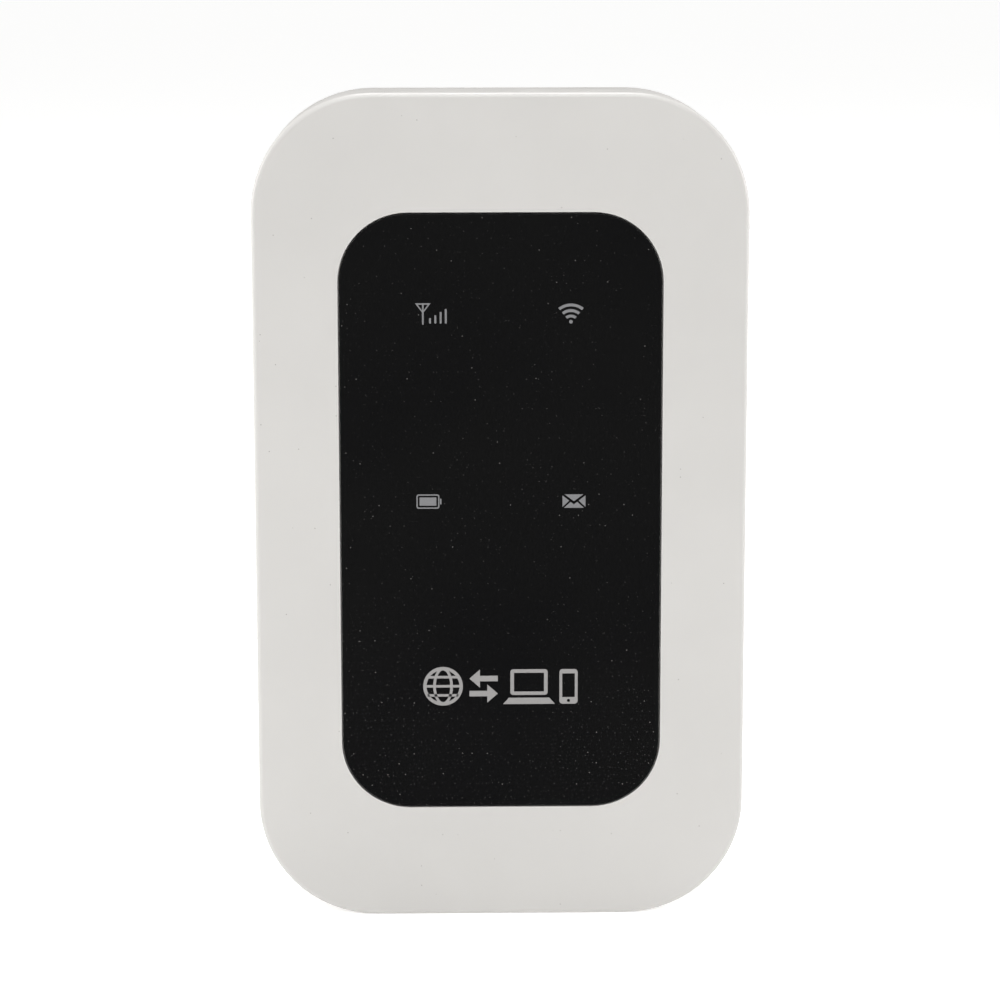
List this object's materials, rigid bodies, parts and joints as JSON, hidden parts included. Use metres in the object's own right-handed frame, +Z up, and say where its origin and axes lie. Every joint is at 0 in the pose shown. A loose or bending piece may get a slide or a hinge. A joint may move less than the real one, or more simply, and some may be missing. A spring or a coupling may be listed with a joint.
{
  "type": "mobile hotspot",
  "caption": "Upright white pocket hotspot with rounded corners, a glossy black front panel with indicator symbols, a side power key, a micro USB socket and a pull-off back over a battery.",
  "frame": {"origin": "centre of the footprint of the device standing on its bottom edge", "axes": "+Z up towards the top edge, -Y out of the front panel, +X towards the power key"},
  "size_m": [0.0604, 0.014, 0.102],
  "materials": {
    "white_shell": "fine satin moulded ABS",
    "panel_gloss": "polished black acrylic",
    "adhesive": "double-sided acrylic foam tape",
    "foam": "closed-cell foam",
    "light_guide": "milky polycarbonate",
    "led_ceramic": "epoxy over phosphor",
    "board": "green solder mask on fibreglass",
    "chip_black": "moulded epoxy",
    "tinned_sheet": "tin-plated steel sheet",
    "thermal_silicone": "filled silicone sheet",
    "gold_contact": "gold-plated copper alloy",
    "black_plastic": "glass-filled nylon",
    "stainless_sheet": "stamped stainless steel",
    "screw_steel": "zinc-plated steel",
    "socket_plastic": "liquid crystal polymer",
    "card_plastic": "plain white card plastic",
    "battery_sleeve": "aluminium-cased cell under a satin film sleeve",
    "label_film": "blank polyester label",
    "antenna_film": "copper foil in amber polyimide film"
  },
  "bodies": {
    "chassis": {"front_cover": "white_shell", "front_panel": "panel_gloss", "panel_adhesive": "adhesive", "light_baffle": "foam", "light_guide_signal": "light_guide", "light_guide_wireless": "light_guide", "light_guide_battery": "light_guide", "light_guide_message": "light_guide", "led_signal": "led_ceramic", "led_wireless": "led_ceramic", "led_battery": "led_ceramic", "led_message": "led_ceramic", "main_board": "board", "shield_can_modem": "tinned_sheet", "shield_can_radio": "tinned_sheet", "modem_chip": "chip_black", "memory_chip": "chip_black", "power_chip": "chip_black", "radio_chip": "chip_black", "amplifier_chip": "chip_black", "clock_crystal": "tinned_sheet", "charge_inductor": "chip_black", "bulk_capacitor": "chip_black", "thermal_pad": "thermal_silicone", "antenna_pin_main": "gold_contact", "antenna_pin_diversity": "gold_contact", "antenna_pin_wireless": "gold_contact", "power_switch_body": "stainless_sheet", "reset_switch_body": "stainless_sheet", "usb_socket_shell": "stainless_sheet", "usb_socket_tongue": "black_plastic", "sim_socket_base": "socket_plastic", "sim_socket_shell": "stainless_sheet", "battery_contact_block": "black_plastic", "battery_spring_1": "gold_contact", "battery_spring_2": "gold_contact", "battery_spring_3": "gold_contact", "rear_housing": "white_shell", "bay_label": "label_film", "case_screw_1": "screw_steel", "case_screw_2": "screw_steel", "case_screw_3": "screw_steel", "case_screw_4": "screw_steel", "antenna_film_main": "antenna_film", "antenna_film_diversity": "antenna_film", "antenna_film_wireless": "antenna_film"},
    "power_key": {"power_key": "white_shell", "power_switch_plunger": "black_plastic"},
    "reset_button": {"reset_switch_plunger": "black_plastic"},
    "battery": {"battery_pack": "battery_sleeve", "battery_cap": "black_plastic", "battery_pad_1": "gold_contact", "battery_pad_2": "gold_contact", "battery_pad_3": "gold_contact"},
    "battery_cover": {"battery_cover": "white_shell", "cover_pad": "foam"},
    "sim_card": {"sim_card": "card_plastic"}
  },
  "joints": [
    {"name": "power_key_press", "type": "slide", "parent": "chassis", "child": "power_key", "axis": [-1, 0, 0], "range_m": [0, 0.0003], "stiffness_N_per_m": 5000},
    {"name": "reset_press", "type": "slide", "parent": "chassis", "child": "reset_button", "axis": [0, -1, 0], "range_m": [0, 0.00025], "stiffness_N_per_m": 6000},
    {"name": "battery_lift", "type": "slide", "parent": "chassis", "child": "battery", "axis": [0, 1, 0], "range_m": [0, 0.012]},
    {"name": "cover_pull", "type": "slide", "parent": "battery", "child": "battery_cover", "axis": [0, 1, 0], "range_m": [0, 0.025]},
    {"name": "sim_slide", "type": "slide", "parent": "chassis", "child": "sim_card", "axis": [1, 0, 0], "range_m": [0, 0.016]}
  ]
}
